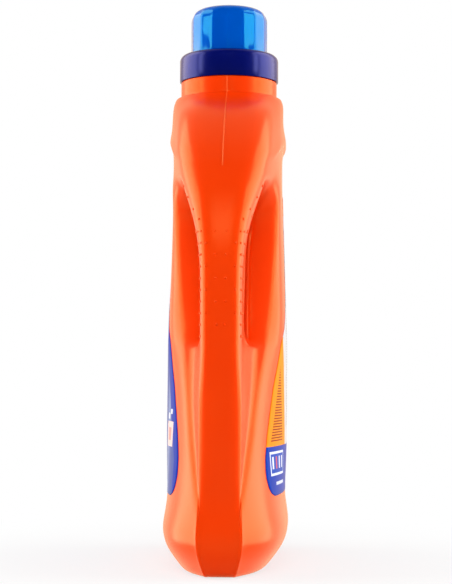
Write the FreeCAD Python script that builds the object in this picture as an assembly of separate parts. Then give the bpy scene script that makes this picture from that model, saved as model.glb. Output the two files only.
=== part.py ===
import FreeCAD, Part
import math
import os

# Laundry detergent bottle, about 1.5 litres, in millimetres.
# Origin at the middle of the base; +Z up, handle towards +X, front label towards -Y.

# Body, outside sizes
body_width = 163.0
belly_depth = 63.8
waist_depth = 59.8
panel_depth = 61.8
shoulder_depth = 58.4
base_inset = 14.0
base_nose_taper = 0.15
bottle_wall = 1.3

# Heel, as (share of its height, share of the base inset) from the standing rim up
heel_height = 15.0
heel_curve = [(0.0, 1.0), (0.0, 0.8), (0.24, 0.48), (0.68, 0.14)]

# Heights above the floor, each from the one below
belly_top = 22.0
panel_step = 13.0
hole_rise = 78.0
hole_height = 73.0
brow_height = 11.0
ridge_climb = 22.0
shoulder_rise = 22.2
ridge_rise = 2.0
ridge_drop = 13.0
rear_share = 0.6
brow_dip = 1.0

# Handle, its scooped faces and the finger hole
nose_flat = 13.6
handle_width = 20.0
belly_nose_flat = 24.0
web_width = 29.0
hole_width = 30.0
hole_lean = 5.0
handle_depth = 26.5
hole_rim_round = 3.5

# Base: a push-up inside a rim that stands on four small round feet
push_up_height = 3.0
push_up_inset = 4.0
foot_height = 0.5
foot_round = 5.0
foot_poles = (6, 10)

# Neck, round about the pour axis
pour_axis_offset = -12.0
neck_base_diameter = 50.5
neck_base_height = 9.1
neck_finish_diameter = 48.4
neck_finish_height = 12.65
neck_bore_diameter = 44.5
neck_root_fillet = 1.4
snap_bead_rise = 0.35
snap_bead_height = 1.8
snap_bead_rise_above_base = 4.1

# Spout collar that snaps on the neck
collar_diameter = 52.0
collar_seat = 0.1
collar_height = 14.35
collar_top_wall = 1.6
collar_edge_round = 3.4
plug_wall = 1.5
neck_fit = 0.06
trough_rise = 1.0
trough_wall = 1.5
trough_fall = 1.6
spout_outer_diameter = 25.0
spout_wall = 1.3
spout_above_collar = 15.5
spout_slant = 9.0
drain_slot_width = 4.0

# Dosing cap, a cup upside down in the collar
cap_diameter = 40.2
cap_above_collar = 24.5
cap_wall = 1.7
cap_top_wall = 1.6
cap_edge_round = 6.6
facet_count = 16
facet_depth = 0.32
facet_bottom_gap = 0.8
cap_thread_gap = 0.4
cap_seat_gap = 0.06

# Labels, plastic film stuck on both faces
label_thickness = 0.2
label_gap = 0.02
label_bottom_margin = 1.5
label_top_margin = 5.0
label_rear_margin = 14.0
label_wall_margin = 9.0
label_corner = 14.0

panel_bottom = belly_top + panel_step
hole_bottom = panel_bottom + hole_rise
hole_top = hole_bottom + hole_height
scoop_bottom = panel_bottom + 1.0
scoop_top = hole_top + brow_height
ridge_height = scoop_top + ridge_climb
shoulder_height = ridge_height + shoulder_rise
neck_base_top = shoulder_height + neck_base_height
neck_finish_top = neck_base_top + neck_finish_height
snap_bead_level = neck_base_top + snap_bead_rise_above_base
collar_bottom = neck_base_top + collar_seat
collar_top = collar_bottom + collar_height
trough_floor = collar_bottom + trough_rise
spout_top = collar_top + spout_above_collar
cap_top = collar_top + cap_above_collar
label_bottom = panel_bottom + label_bottom_margin
label_top = scoop_top - label_top_margin

half_width = body_width / 2
belly_half = belly_depth / 2
waist_half = waist_depth / 2
panel_half = panel_depth / 2
shoulder_half = shoulder_depth / 2
neck_base_radius = neck_base_diameter / 2
top_ring_radius = neck_base_radius + neck_root_fillet + 1.2
panel_set_back = (belly_depth - waist_depth) / 2
half_points = 14


def at(level, points):
    """Value at a level on straight runs between (level, value) points."""
    low_level, low_value = points[0]
    if level <= low_level:
        return low_value
    for high_level, high_value in points[1:]:
        if level <= high_level:
            share = (level - low_level) / (high_level - low_level)
            return low_value + share * (high_value - low_value)
        low_level, low_value = high_level, high_value
    return low_value


def between(start, end, share):
    return tuple(a + (b - a) * share for a, b in zip(start, end))


def sweep(level):
    """Share of the ridge's drop that a ring has at its nose."""
    return at(level, [(scoop_top - 3, 0), (ridge_height - 5, 1), (ridge_height + 5, 1), (shoulder_height - 8, 0)])


def nose_level(level):
    """Height of a ring at its nose."""
    return level - ridge_drop * sweep(level)


def rear_level(level):
    """Height of a ring at its back edge."""
    return level - ridge_drop * rear_share * sweep(level)


def nose_line(level):
    """X of the handle-side edge of the bottle."""
    panel_nose = half_width - panel_set_back
    return at(level, [
        (belly_top, half_width),
        (panel_bottom, panel_nose),
        (hole_bottom + 40, panel_nose),
        (hole_top - 16, panel_nose - 2.5),
        (hole_top, panel_nose - 9),
        (scoop_top + 3, panel_nose - 17.5),
        (ridge_height - 4, panel_nose - 29),
        (ridge_height + 10, panel_nose - 44),
        (shoulder_height - 4, panel_nose - 58),
        (shoulder_height, pour_axis_offset + top_ring_radius),
    ])


def rear_line(level):
    """X of the straight back edge, away from the handle."""
    panel_rear = -half_width + panel_set_back
    return at(level, [
        (belly_top, -half_width),
        (panel_bottom, panel_rear),
        (scoop_top - 20, panel_rear),
        (scoop_top + 3, panel_rear + 3),
        (ridge_height, panel_rear + 11),
        (ridge_height + 13, panel_rear + 22),
        (shoulder_height - 4, panel_rear + 35),
        (shoulder_height, pour_axis_offset - top_ring_radius),
    ])


def half_depth(level):
    """Half the thickness, Y, at the middle of the faces."""
    return at(level, [
        (belly_top, belly_half),
        (panel_bottom, waist_half),
        (panel_bottom + 25, panel_half),
        (hole_bottom, panel_half),
        (scoop_top - 16, shoulder_half - brow_dip / 2),
        (scoop_top, shoulder_half - brow_dip),
        (ridge_height - 7, shoulder_half - brow_dip),
        (ridge_height, shoulder_half),
        (shoulder_height - 3, shoulder_half),
        (shoulder_height, top_ring_radius),
    ])


def nose_corner(level):
    """Half the flat nose, and half the width where its corner ends."""
    slim = nose_flat / 2
    stout = belly_nose_flat / 2
    flat = at(level, [
        (panel_bottom, stout),
        (panel_bottom + 22, slim + 0.6),
        (hole_bottom + 40, slim),
        (hole_top - 4, slim + 5),
        (scoop_top + 8, stout + 3.5),
        (ridge_height, stout + 4),
        (shoulder_height - 10, stout + 4.5),
    ])
    grip = handle_width / 2
    corner = at(level, [
        (panel_bottom, stout + 4.5),
        (panel_bottom + 22, grip + 0.8),
        (hole_bottom + 30, grip + 0.3),
        (hole_top - 21, grip + 3.5),
        (hole_top - 4, grip + 9),
        (scoop_top + 3, grip + 12),
        (shoulder_height - 8, grip + 14),
    ])
    return flat, corner


def face_front(level):
    """X where the flat of the face begins, behind the bevel."""
    return at(level, [
        (belly_top, 15),
        (panel_bottom + 24, 10),
        (hole_bottom - 24, 5),
        (hole_bottom + 40, -4),
        (shoulder_height - 10, -6),
    ])


def wall_line(level):
    """X, then half width, of the wall that bounds the scooped face."""
    wall_x = at(level, [
        (scoop_bottom, 69),
        (scoop_bottom + 24, 53),
        (hole_bottom - 28, 37),
        (hole_bottom - 3, 26),
        (hole_bottom + 15, 18.5),
        (hole_bottom + 45, 14),
        (hole_top - 4, 13),
        (scoop_top, 24),
    ])
    wall_half = at(level, [
        (scoop_bottom, web_width / 2 + 4),
        (scoop_bottom + 12, web_width / 2 + 1.4),
        (scoop_bottom + 24, web_width / 2 + 2),
        (hole_bottom - 28, web_width / 2 + 4.6),
        (hole_bottom - 3, panel_half - 8.4),
        (hole_bottom + 42, panel_half - 4.6),
        (hole_top, panel_half - 3.6),
        (scoop_top, shoulder_half - 0.8),
    ])
    return wall_x, wall_half


def oval_ring(level):
    """Half ring of points spaced evenly by angle about the pour axis."""
    points = []
    for index in range(half_points):
        angle = math.pi * index / (half_points - 1)
        reach = nose_line(nose_level(level)) - pour_axis_offset
        if math.cos(angle) < 0:
            reach = pour_axis_offset - rear_line(rear_level(level))
        points.append((pour_axis_offset + reach * math.cos(angle), half_depth(level) * math.sin(angle)))
    return points


def lens_ring(level):
    """Half ring of the plain body: blunt nose, wedge, flat face and rounded back."""
    nose, rear, half = nose_line(nose_level(level)), rear_line(rear_level(level)), half_depth(level)
    flat, corner = nose_corner(nose_level(level))
    corner_set_back = at(nose_level(level), [(hole_bottom + 40, 2.8), (scoop_top + 6, 9)])
    points = [(nose, 0.0), (nose, flat), (nose - corner_set_back, corner)]
    for step in range(1, 6):
        share = step / 6
        x = points[2][0] + (face_front(level) - points[2][0]) * share
        swell = 1 - (1 - share) ** 1.8
        points.append((x, corner + (half - corner) * swell))
    points.append((face_front(level), half))
    middle = min(face_front(level) - 10, pour_axis_offset - 6)
    points.append((middle, half))
    points.append((rear + (middle - rear) * 0.46, half))
    points.append((rear + (middle - rear) * 0.11, half * 0.82))
    points.append((rear, half * 0.42))
    points.append((rear, 0.0))
    return points


def scooped(points, level):
    """The lens ring with the handle's flank pressed in down to the web and its wall."""
    depth = at(level, [
        (scoop_bottom, 0),
        (scoop_bottom + 14, 1),
        (scoop_top - 13, 1),
        (scoop_top, 0),
    ])
    grip = handle_width / 2
    flank = at(level, [
        (scoop_bottom + 12, grip + 0.6),
        (hole_bottom + 35, grip),
        (hole_top - 21, grip + 3.2),
        (hole_top - 8, grip + 7),
        (scoop_top, grip + 15),
    ])
    root = at(level, [
        (hole_bottom - 1, web_width / 2),
        (hole_bottom + 8, grip + 1),
        (hole_top - 16, grip + 2),
        (scoop_top, grip + 15),
    ])
    nose = nose_line(nose_level(level))
    wall_x, wall_half = wall_line(level)
    floor_end = wall_x + 3.5
    floor_start = max(nose - handle_depth + 6, floor_end + 4)
    floor_start = min(floor_start, nose - 8)
    pressed = list(points)
    pressed[3] = (floor_start, flank)
    pressed[4] = ((floor_start + floor_end) / 2, flank + (root - flank) * 0.55)
    pressed[5] = (floor_end, root)
    pressed[6] = (wall_x, wall_half)
    pressed[7] = between((wall_x, wall_half), points[8], 0.32)
    pressed[7] = (pressed[7][0], wall_half + (points[8][1] - wall_half) * 0.66)
    return [between(plain, pushed, depth) for plain, pushed in zip(points, pressed)]


def drawn_in(points, distance):
    """Half ring drawn in by a distance at its four sides, a little more beside the nose."""
    x_share = 1 - distance / half_width
    y_share = 1 - distance / belly_half
    taper = base_nose_taper * min(distance / base_inset, 1)
    return [(x * x_share, y * y_share * (1 - taper * max(x, 0) / half_width)) for x, y in points]


def ring_at(level, inset=0.0, height=None):
    """Closed ring of surface points at one level, front half mirrored to the back."""
    roundness = at(level, [(ridge_height - 8, 0), (ridge_height + 13, 0.55), (shoulder_height, 1)])
    points = scooped(lens_ring(level), level)
    points = [between(a, b, roundness) for a, b in zip(points, oval_ring(level))]
    points = drawn_in(points, inset)
    bulge = at(level, [(ridge_height - 7, 0), (ridge_height, ridge_rise), (ridge_height + 6, 0)])
    half_ring = []
    for index, (x, y) in enumerate(points):
        lead = at(index, [(2, 1), (4, 0.9), (6, 0.4), (7, 0.1), (8, 0), (11, 0), (13, rear_share)])
        proud = at(index, [(2, 0), (5, 0.7), (11, 1), (13, 0)])
        z = (level if height is None else height) - ridge_drop * sweep(level) * lead
        half_ring.append((x, y + bulge * proud, z))
    back = [(x, -y, z) for x, y, z in half_ring[-2:0:-1]]
    return [FreeCAD.Vector(*point) for point in half_ring + back]


def body_rings():
    """All rings from the base to the shoulder's top."""
    rings = [ring_at(foot_height + heel_height * rise, base_inset * inset) for rise, inset in heel_curve]
    levels = [heel_height + 2, belly_top, (belly_top + panel_bottom) / 2, panel_bottom + 1]
    web_steps = 6
    for step in range(1, web_steps + 1):
        levels.append(panel_bottom + (hole_bottom - panel_bottom) * step / web_steps)
    hole_steps = 5
    for step in range(1, hole_steps + 1):
        levels.append(hole_bottom + (hole_top - 6 - hole_bottom) * step / hole_steps)
    levels += [hole_top + 1, scoop_top - 4, scoop_top + 3, ridge_height - 8, ridge_height - 4]
    levels += [ridge_height, ridge_height + 4, ridge_height + 9]
    levels += [shoulder_height - 9, shoulder_height - 4, shoulder_height - 1.2, shoulder_height]
    rings += [ring_at(level) for level in levels]
    return rings


def shifted(rings, distance, base_level, top_level):
    """The rings moved outwards by a distance, square to the surface they span."""
    moved = []
    count = len(rings[0])
    for row, ring in enumerate(rings):
        below, above = rings[max(row - 1, 0)], rings[min(row + 1, len(rings) - 1)]
        new_ring = []
        for index, point in enumerate(ring):
            around = ring[(index + 1) % count] - ring[index - 1]
            normal = around.cross(above[index] - below[index])
            normal.normalize()
            new_ring.append(point + normal * distance)
        moved.append(new_ring)
    for row in (0, 1):
        moved[row] = [FreeCAD.Vector(point.x, point.y, base_level) for point in moved[row]]
    moved[-1] = [FreeCAD.Vector(point.x, point.y, top_level) for point in moved[-1]]
    return moved


def skin_solid(rings):
    """Closed solid under one smooth surface through a net of rings, flat at both ends."""
    across = [list(column) for column in zip(*rings)]
    around_count, level_count = len(across), len(rings)
    inner_knots = level_count - 2
    surface = Part.BSplineSurface()
    surface.buildFromPolesMultsKnots(
        across,
        [1] * (around_count + 1),
        [4] + [1] * (inner_knots - 2) + [4],
        list(range(around_count + 1)),
        list(range(inner_knots)),
        True, False, 3, 3,
    )
    side = surface.toShape()
    faces = [side]
    for edge in side.Edges:
        flat = edge.BoundBox.ZLength < 0.001
        if flat and edge.isClosed():
            faces.append(Part.Face(Part.Wire([edge])))
    shell = Part.Shell(faces)
    shell.sewShape()
    solid = Part.Solid(shell)
    if solid.Volume < 0:
        solid.reverse()
    return solid


def hole_wire(y, swell):
    """Leaning slot outline of the finger hole, in a plane square to Y."""
    radius = hole_width / 2 + swell
    centre_x = half_width - panel_set_back - handle_depth - hole_width / 2
    low = FreeCAD.Vector(centre_x, y, hole_bottom + hole_width / 2)
    high = FreeCAD.Vector(centre_x - hole_lean, y, hole_top - hole_width / 2)
    up = (high - low).normalize()
    out = FreeCAD.Vector(up.z, 0, -up.x)
    bottom = Part.Arc(low - out * radius, low - up * radius, low + out * radius)
    top = Part.Arc(high + out * radius, high + up * radius, high - out * radius)
    return Part.Wire([
        bottom.toShape(),
        Part.LineSegment(low + out * radius, high + out * radius).toShape(),
        top.toShape(),
        Part.LineSegment(high - out * radius, low - out * radius).toShape(),
    ])


def hole_cutter(rim_round, rim_half, margin):
    """Plug that leaves the finger hole with a rounded rim on both faces."""
    wires = []
    steps = 5
    for step in range(-steps, steps + 1):
        angle = math.radians(80) * step / steps
        wires.append(hole_wire(rim_half * math.sin(angle), margin + rim_round * (1 - math.cos(angle))))
    rim = Part.makeLoft(wires, True, False)
    pieces = []
    for side in (-1, 1):
        end = wires[0] if side < 0 else wires[-1]
        pieces.append(Part.Face(end).extrude(FreeCAD.Vector(0, side * belly_depth, 0)))
    return rim.fuse(pieces)


def pour_cylinder(radius, bottom, top):
    return Part.makeCylinder(radius, top - bottom, FreeCAD.Vector(pour_axis_offset, 0, bottom))


def turned(outline):
    """Solid turned about the pour axis from a closed (radius, level) outline."""
    edges = []
    for index, (radius, level) in enumerate(outline):
        next_radius, next_level = outline[(index + 1) % len(outline)]
        start = FreeCAD.Vector(pour_axis_offset + radius, 0, level)
        end = FreeCAD.Vector(pour_axis_offset + next_radius, 0, next_level)
        edges.append(Part.LineSegment(start, end).toShape())
    face = Part.Face(Part.Wire(edges))
    return face.revolve(FreeCAD.Vector(pour_axis_offset, 0, 0), FreeCAD.Vector(0, 0, 1), 360)


def edges_at(solid, radius, level):
    """Round edges about the pour axis with this radius, at this level."""
    found = []
    for edge in solid.Edges:
        box = edge.BoundBox
        round_edge = hasattr(edge.Curve, "Radius") and abs(edge.Curve.Radius - radius) < 0.01
        if round_edge and box.ZLength < 0.01 and abs(box.ZMin - level) < 0.01:
            found.append(edge)
    return found


def push_up(margin):
    """Shallow hollow pressed up into the base so that it stands on a rim."""
    foot = ring_at(0.0, base_inset + push_up_inset - margin, -1.0)
    crown = ring_at(0.0, base_inset + push_up_inset + push_up_height - margin, push_up_height + margin)
    wires = []
    for ring in (foot, crown):
        curve = Part.BSplineCurve()
        curve.buildFromPolesMultsKnots(ring, periodic=True, degree=3)
        wires.append(Part.Wire([curve.toShape()]))
    return Part.makeLoft(wires, True, True)


def standing_feet():
    """Four small round feet under the standing rim, so that the bottle can't rock."""
    rim = ring_at(0.0, base_inset + push_up_inset / 2)
    slab = Part.makeBox(body_width, belly_depth, foot_height + bottle_wall / 2)
    slab.translate(FreeCAD.Vector(-half_width, -belly_half, 0))
    feet = []
    for index in foot_poles:
        for side in (-1, 1):
            centre = FreeCAD.Vector(rim[index].x, side * rim[index].y, foot_round)
            feet.append(Part.makeSphere(foot_round, centre).common(slab))
    return feet


def make_bottle(rings):
    outer = skin_solid(rings)
    neck_base = pour_cylinder(neck_base_radius, shoulder_height - 4, neck_base_top)
    body = outer.fuse(neck_base)
    body = body.makeFillet(neck_root_fillet, edges_at(body, neck_base_radius, shoulder_height))
    finish_radius = neck_finish_diameter / 2
    body = body.fuse(pour_cylinder(finish_radius, neck_base_top - 2, neck_finish_top))
    bead_low, bead_high = snap_bead_level, snap_bead_level + snap_bead_height
    bead_radius = finish_radius + snap_bead_rise
    bead = turned([
        (finish_radius - 0.5, bead_low),
        (finish_radius, bead_low),
        (bead_radius, bead_low + snap_bead_rise),
        (bead_radius, bead_high - snap_bead_rise * 2),
        (finish_radius, bead_high),
        (finish_radius - 0.5, bead_high),
    ])
    body = body.fuse(bead)
    rim_half = handle_width / 2
    body = body.cut(hole_cutter(hole_rim_round, rim_half, 0.0))
    body = body.cut(push_up(0.0)).fuse(standing_feet())
    inside = skin_solid(shifted(rings, -bottle_wall, foot_height + bottle_wall, shoulder_height - bottle_wall))
    inside = inside.cut(hole_cutter(hole_rim_round - bottle_wall, rim_half - bottle_wall, bottle_wall))
    inside = inside.cut(push_up(bottle_wall))
    body = body.cut(inside)
    bore_bottom = shoulder_height - 3 * bottle_wall
    return body.cut(pour_cylinder(neck_bore_diameter / 2, bore_bottom, neck_finish_top + 1))


def make_collar():
    outside = collar_diameter / 2
    skirt_inside = neck_finish_diameter / 2 + neck_fit
    plug_outside = neck_bore_diameter / 2 - neck_fit
    plug_inside = cap_diameter / 2 + cap_thread_gap
    spout_outside = spout_outer_diameter / 2
    spout_inside = spout_outside - spout_wall
    under_top = collar_top - collar_top_wall
    groove_radius = skirt_inside + snap_bead_rise
    floor_low = trough_floor - trough_fall
    collar = turned([
        (outside, collar_bottom),
        (outside, collar_top),
        (plug_inside, collar_top),
        (plug_inside, trough_floor),
        (cap_diameter / 2 - cap_wall - 1, trough_floor),
        (spout_outside, floor_low),
        (spout_outside, spout_top),
        (spout_inside, spout_top),
        (spout_inside, floor_low - trough_wall),
        (spout_outside, floor_low - trough_wall),
        (plug_outside, trough_floor - trough_wall),
        (plug_outside, under_top),
        (skirt_inside, under_top),
        (skirt_inside, snap_bead_level + snap_bead_height + neck_fit),
        (groove_radius, snap_bead_level + snap_bead_height - snap_bead_rise),
        (groove_radius, snap_bead_level),
        (skirt_inside, snap_bead_level - neck_fit - snap_bead_rise / 2),
        (skirt_inside, collar_bottom),
    ])
    collar = collar.makeFillet(collar_edge_round, edges_at(collar, outside, collar_top))
    slant = Part.makeBox(collar_diameter, collar_diameter, collar_diameter)
    slant.translate(FreeCAD.Vector(0, -collar_diameter / 2, 0))
    tilt = math.degrees(math.atan2(spout_slant, spout_outer_diameter))
    slant.rotate(FreeCAD.Vector(0, 0, 0), FreeCAD.Vector(0, 1, 0), tilt)
    slant.translate(FreeCAD.Vector(pour_axis_offset - spout_outside, 0, spout_top))
    collar = collar.cut(slant)
    slot = Part.makeBox(spout_outside, drain_slot_width, spout_top - floor_low)
    slot.translate(FreeCAD.Vector(pour_axis_offset, -drain_slot_width / 2, floor_low))
    keep_ring = pour_cylinder(spout_outside + 1, floor_low, spout_top)
    return collar.cut(slot.common(keep_ring))


def make_cap():
    outside = cap_diameter / 2
    inside = outside - cap_wall
    rim = trough_floor + cap_seat_gap
    cup = pour_cylinder(outside, rim, cap_top)
    cup = cup.makeFillet(cap_edge_round, edges_at(cup, outside, cap_top))
    facet_bottom = collar_top + facet_bottom_gap
    corner = (outside - facet_depth) / math.cos(math.pi / facet_count)
    points = []
    for index in range(facet_count + 1):
        angle = 2 * math.pi * (index + 0.5) / facet_count
        x = pour_axis_offset + corner * math.cos(angle)
        points.append(FreeCAD.Vector(x, corner * math.sin(angle), facet_bottom))
    prism = Part.Face(Part.makePolygon(points)).extrude(FreeCAD.Vector(0, 0, cap_top - facet_bottom))
    prism = prism.fuse(pour_cylinder(outside + 1, rim - 1, facet_bottom))
    cup = cup.common(prism)
    hollow = pour_cylinder(inside, rim - 1, cap_top - cap_top_wall)
    hollow_edges = edges_at(hollow, inside, cap_top - cap_top_wall)
    hollow = hollow.makeFillet(cap_edge_round - cap_wall / 2, hollow_edges)
    return cup.cut(hollow)


def label_outline():
    """Corners of both labels seen square on: the handle-side edge follows the scoop's wall."""
    def beside_wall(level):
        return wall_line(level)[0] - label_wall_margin
    rear = -half_width + panel_set_back + label_rear_margin
    return [
        (rear, label_bottom),
        (beside_wall(label_bottom + 20), label_bottom),
        (beside_wall(label_bottom + 20), label_bottom + 19),
        (beside_wall(hole_bottom) - 3, hole_bottom),
        (beside_wall(hole_bottom + 7) - 9, hole_bottom + 7),
        (beside_wall(hole_bottom + 22) - 15, hole_bottom + 22),
        (beside_wall(hole_bottom + 42) - 17, hole_bottom + 42),
        (beside_wall(hole_bottom + 42) - 21, label_top),
        (rear, label_top),
    ]


def make_label(rings, side):
    """Film on one face; side is -1 for the front and 1 for the back."""
    top = shoulder_height
    outer = skin_solid(shifted(rings, label_gap + label_thickness, foot_height, top))
    inner = skin_solid(shifted(rings, label_gap, foot_height, top))
    corners = [FreeCAD.Vector(x, side * 8.0, z) for x, z in label_outline()]
    blank = Part.Face(Part.makePolygon(corners + corners[:1]))
    blank = blank.extrude(FreeCAD.Vector(0, side * belly_depth, 0))
    upright = [edge for edge in blank.Edges if edge.BoundBox.YLength > belly_depth / 2]
    blank = blank.makeFillet(label_corner, upright)
    return blank.common(outer).cut(inner)


def main():
    os.makedirs("parts", exist_ok=True)
    rings = body_rings()
    pieces = {
        "bottle": make_bottle(rings),
        "spout_collar": make_collar(),
        "dosing_cap": make_cap(),
        "front_label": make_label(rings, -1),
        "back_label": make_label(rings, 1),
    }
    for name, shape in pieces.items():
        box = shape.BoundBox
        print(name, len(shape.Solids), shape.isValid(), round(shape.Volume), box)
        shape.exportStep("parts/" + name + ".step")


main()
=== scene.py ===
import bpy
import bmesh
import math
from mathutils import Matrix, Vector
from mathutils.bvhtree import BVHTree


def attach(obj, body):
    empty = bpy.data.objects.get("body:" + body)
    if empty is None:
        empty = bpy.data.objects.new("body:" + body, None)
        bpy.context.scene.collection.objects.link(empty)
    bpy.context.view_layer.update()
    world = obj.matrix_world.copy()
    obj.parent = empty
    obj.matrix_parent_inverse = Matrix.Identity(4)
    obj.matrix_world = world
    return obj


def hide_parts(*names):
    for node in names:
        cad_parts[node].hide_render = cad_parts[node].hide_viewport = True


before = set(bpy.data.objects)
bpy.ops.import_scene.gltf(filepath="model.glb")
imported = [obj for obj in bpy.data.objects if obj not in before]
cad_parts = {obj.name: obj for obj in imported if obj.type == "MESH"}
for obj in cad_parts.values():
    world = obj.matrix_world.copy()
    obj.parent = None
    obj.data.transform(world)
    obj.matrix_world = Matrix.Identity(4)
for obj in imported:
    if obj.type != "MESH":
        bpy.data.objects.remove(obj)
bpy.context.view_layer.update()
mm = 0.001


def at(level, points):
    # value at a level on straight runs between (level, value) points
    lowLevel, lowValue = points[0]
    if level <= lowLevel:
        return lowValue
    for highLevel, highValue in points[1:]:
        if level <= highLevel:
            return lowValue + (highValue - lowValue) * (level - lowLevel) / (highLevel - lowLevel)
        lowLevel, lowValue = highLevel, highValue
    return lowValue


def mixed(a, b, share):
    return a + (b - a) * share


def finishMesh(bm, name, body):
    # turns a bmesh in millimetres into a finished piece in metres, at the origin
    bmesh.ops.transform(bm, matrix=Matrix.Scale(mm, 4), verts=bm.verts)
    mesh = bpy.data.meshes.new(name)
    bm.to_mesh(mesh)
    bm.free()
    mesh.shade_smooth()
    piece = bpy.data.objects.new(name, mesh)
    bpy.context.scene.collection.objects.link(piece)
    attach(piece, body)
    return piece


def sharpened(piece, degrees):
    modifier = piece.modifiers.new("sharp", "EDGE_SPLIT")
    modifier.split_angle = math.radians(degrees)


def stepsFrom(x, y, steps):
    # outline points given as steps away from one point
    return [(x + stepX, y + stepY) for stepX, stepY in steps]


def spun(bm, outline, steps, axisX, closed=True):
    # turns a (radius, level) outline about an upright axis
    verts = [bm.verts.new((axisX + radius, 0, level)) for radius, level in outline]
    pairs = list(zip(verts, verts[1:]))
    if closed:
        pairs.append((verts[-1], verts[0]))
    edges = [bm.edges.new(pair) for pair in pairs]
    bmesh.ops.spin(bm, geom=verts + edges, cent=(axisX, 0, 0), axis=(0, 0, 1), angle=2 * math.pi,
                   steps=steps, use_merge=True)
    bmesh.ops.recalc_face_normals(bm, faces=bm.faces)


def roundedEdge(radius, level, size, steps=6):
    # outline points of a rounded outer top edge, from the side up to the top
    points = []
    for step in range(steps + 1):
        angle = math.pi / 2 * step / steps
        points.append((radius - size + size * math.cos(angle), level - size + size * math.sin(angle)))
    return points


bottle = {
    "poles": 28,
    "baseInset": 14.0,
    "noseTaper": 0.04,
    "halfWidth": 81.5,
    "bellyHalf": 31.9,
    "wall": 1.3,
    "smoothing": 2,
    "merge": 0.001,
    "pourAxis": -12.0,
    "noseLine": [(22, 81.5), (35, 79.5), (153, 79.5), (170, 77), (186, 70.5), (200, 62), (215, 50.5),
                 (229, 35.5), (237.2, 21.5), (241.2, 15.85)],
    "rearLine": [(22, -81.5), (35, -79.5), (177, -79.5), (200, -76.5), (219, -68.5), (232, -57.5),
                 (237.2, -44.5), (241.2, -39.85)],
    "halfDepth": [(22, 31.9), (35, 29.9), (60, 30.9), (113, 30.9), (181, 28.7), (197, 28.2), (212, 28.2),
                  (219, 29.2), (238.2, 29.2), (241.2, 27.85)],
    "noseFlat": [(22, 6.2), (57, 6.6), (153, 6.8), (165, 7.5), (175, 8.8), (187, 10.8), (200, 13.4),
                 (213, 15.6), (228, 18.6), (236, 19.0)],
    "noseCorner": [(24, 8.8), (36, 9.5), (57, 10.4), (143, 10.3), (153, 10.6), (165, 12.2), (175, 14.3),
                   (187, 17.3), (200, 20.5), (213, 23.0), (228, 25.4), (236, 26.0)],
    "cornerSetBack": [(26, 0.2), (36, 1.3), (57, 2.8), (153, 2.8), (190, 6.0), (213, 7.5), (236, 8.0)],
    "wedgeSteps": 7,
    "wedgePower": 1.8,
    "faceFront": [(22, 15), (59, 10), (89, 5), (153, -4), (231.2, -6)],
    "faceRun": 10,
    "middleRun": 6,
    "backCurve": [(0.46, 1.0), (0.11, 0.82), (0.0, 0.42), (0.0, 0.0)],
    "wallX": [(22, 80.7), (30, 79.0), (36, 77.0), (48, 72.5), (60, 67.0), (74, 60.0), (85, 53.5),
              (94, 46.5), (101, 39.5), (107, 33.0), (112, 27.0), (120, 21.0), (128, 18.5), (158, 14.0),
              (182, 13.0), (197, 24.0)],
    "wallFoot": [(94, 1.2), (112, 2.0), (120, 3.5)],
    "wallHalf": [(22, 12.2), (30, 11.8), (36, 12.2), (42, 12.8), (52, 14.3), (60, 15.3), (74, 16.6),
                 (83, 17.3), (100, 19.7), (110, 21.0), (120, 22.4), (135, 23.6), (155, 25.0), (186, 26.7),
                 (197, 28.4)],
    "cornerRun": [(22, 2.6), (60, 2.6), (112, 2.2), (182, 2.2)],
    "cornerDip": 0.3,
    "cornerLift": 0.45,
    "bevelShare": [(22, 0.36), (45, 0.38), (100, 0.36), (128, 0.36)],
    "bevelRise": [(22, 0.80), (45, 0.67), (60, 0.56), (100, 0.56), (128, 0.70)],
    "scoop": [(184, 1), (197, 0)],
    "flank": [(22, 9.4), (36, 9.7), (57, 10.0), (148, 9.9), (162, 11.6), (168, 13.2), (178, 16.6),
              (197, 25)],
    "flankSlope": 6.0,
    "flankStep": 0.3,
    "flankGap": 0.8,
    "handleReach": 20.5,
    "handleFloor": 4,
    "handleLeast": 8,
    "root": [(22, 11.0), (36, 10.0), (42, 10.4), (57, 11.5), (70, 12.8), (83, 13.7), (110.3, 13.9),
             (111.9, 11.4), (121, 10.8), (170, 12), (197, 25)],
    "round": [(222, 0), (232, 0.25), (237.2, 0.7), (241.2, 1)],
    "ridge": [(215.4, 0), (216.4, 1.2), (219, 1.4), (225, 0)],
    "ridgeProud": [(2, 0), (5, 0.7), (12, 1), (14, 0)],
    "sweep": [(194, 0), (214, 1), (224, 1), (233.2, 0)],
    "sweepLead": [(2, 1), (4, 0.9), (6, 0.4), (8, 0.1), (9, 0), (12, 0), (14, 0.6)],
    "groove": [(28, 0.1), (44, 0.8)],
    "ridgeDrop": 13.0,
    "rows": [17, 22, 26, 31, 37, 45, 55, 66, 77, 88, 98, 104, 108.6, 110.2, 112.0, 118, 128, 139.8,
             153.2, 166.6, 180, 187, 193, 200, 210, 215.0, 216.4, 219, 223, 228, 232.2, 237.2, 240, 241.2],
    "heel": [(3, 24), (3, 21), (0.5, 18), (0.5, 16), (0.5, 13), (0.5, 9.8), (4.1, 7.1), (10.7, 1.9)],
    "neck": [(26.7, 241.4), (25.7, 241.5), (25.25, 242.0), (25.25, 243.6), (25.25, 249.0), (25.25, 250.0),
             (25.0, 250.25), (24.3, 250.3), (24.2, 250.7), (24.2, 254.0), (24.5, 254.5), (24.5, 255.5),
             (24.2, 256.2), (24.2, 262.0), (24.1, 262.75), (23.4, 262.95)],
}


def endLevels(level):
    # heights at which a ring passes the nose and the back edge, under the sweep of the ridge
    drop = bottle["ridgeDrop"] * at(level, bottle["sweep"])
    return level - drop, level - drop * bottle["sweepLead"][-1][1]


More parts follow.
